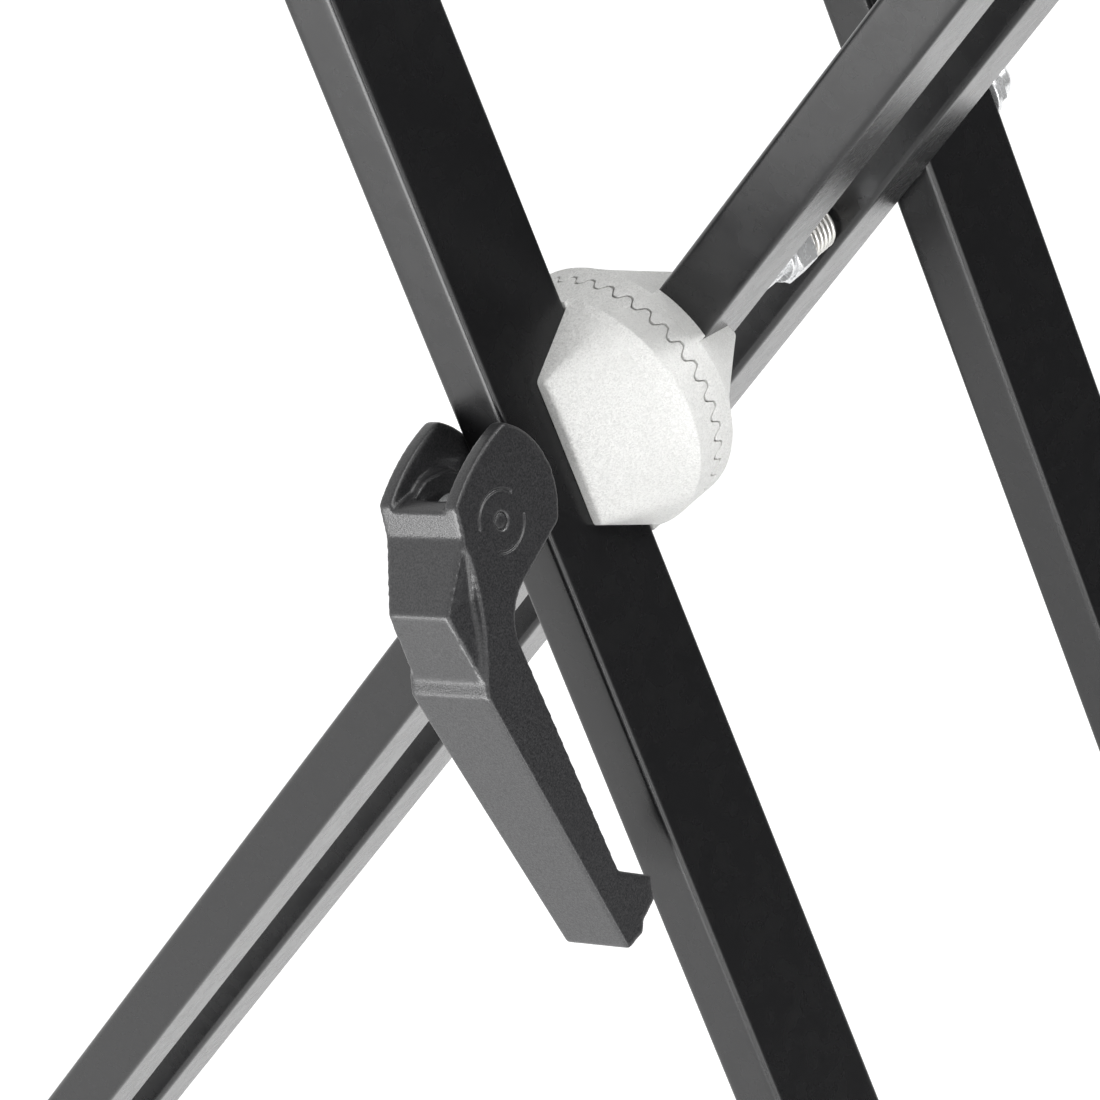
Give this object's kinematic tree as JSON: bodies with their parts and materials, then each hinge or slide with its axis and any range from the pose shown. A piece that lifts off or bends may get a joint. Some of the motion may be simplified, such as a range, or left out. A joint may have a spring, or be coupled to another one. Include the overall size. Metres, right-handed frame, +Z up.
{
  "type": "keyboard stand",
  "caption": "Folding x-frame keyboard stand: crossed rectangular steel legs on a toothed clutch, clamped by a cam lever, with foam-sleeved arms on top and rubber-capped foot bars.",
  "frame": {"origin": "on the floor, under the middle of the clutch axle", "axes": "+Z up, X across the crossed legs, +Y from the lever's side to the back"},
  "size_m": [0.633, 0.347, 0.9691],
  "materials": {
    "black_tube": "semi-gloss black powder coat",
    "clutch_silver": "metallic silver paint with a fine sparkle",
    "lever_grey": "fine textured dark grey coat",
    "zinc_steel": "bright zinc plate",
    "spring_wire": "bright nickel plate",
    "foot_rubber": "matt moulded rubber",
    "arm_foam": "fine closed cell foam",
    "stop_plastic": "moulded plastic, satin",
    "washer_nylon": "natural nylon"
  },
  "bodies": {
    "outer_frame": {"outer_leg_front": "black_tube", "outer_leg_rear": "black_tube", "outer_foot_bar": "black_tube", "outer_support_arm": "black_tube", "outer_foot_cap_front": "foot_rubber", "outer_foot_cap_rear": "foot_rubber", "outer_arm_sleeve_front": "arm_foam", "outer_arm_sleeve_rear": "arm_foam", "outer_arm_stop_front": "stop_plastic", "outer_arm_stop_rear": "stop_plastic", "clutch_half_front": "clutch_silver", "cam_seat": "zinc_steel", "thrust_washer": "washer_nylon"},
    "inner_frame": {"inner_leg_front": "black_tube", "inner_leg_rear": "black_tube", "inner_foot_bar": "black_tube", "inner_support_arm": "black_tube", "inner_foot_cap_front": "foot_rubber", "inner_foot_cap_rear": "foot_rubber", "inner_arm_sleeve_front": "arm_foam", "inner_arm_sleeve_rear": "arm_foam", "inner_arm_stop_front": "stop_plastic", "inner_arm_stop_rear": "stop_plastic", "clutch_half_rear": "clutch_silver"},
    "clutch_axle": {"clutch_axle": "zinc_steel", "axle_spacer": "zinc_steel", "axle_washer": "zinc_steel", "axle_nut": "zinc_steel", "release_spring": "spring_wire", "rear_washer": "zinc_steel", "rear_nut": "zinc_steel"},
    "lever": {"cam_lever": "lever_grey", "lever_pin": "zinc_steel"}
  },
  "joints": [
    {"name": "clutch_release", "type": "slide", "parent": "outer_frame", "child": "clutch_axle", "axis": [0, 1, 0], "range_m": [0, 0.0027]},
    {"name": "fold", "type": "hinge", "parent": "clutch_axle", "child": "inner_frame", "pos_m": [0, 0, 0.60185], "axis": [0, 1, 0], "range_deg": [-40, 20]},
    {"name": "lever_swing", "type": "hinge", "parent": "clutch_axle", "child": "lever", "pos_m": [0, -0.1075, 0.60185], "axis": [-0.8904, 0, -0.4552], "range_deg": [0, 90]}
  ],
  "couplings": [
    {"joint": "clutch_release", "follows": "lever_swing", "m_per_rad": 0.0017189}
  ]
}
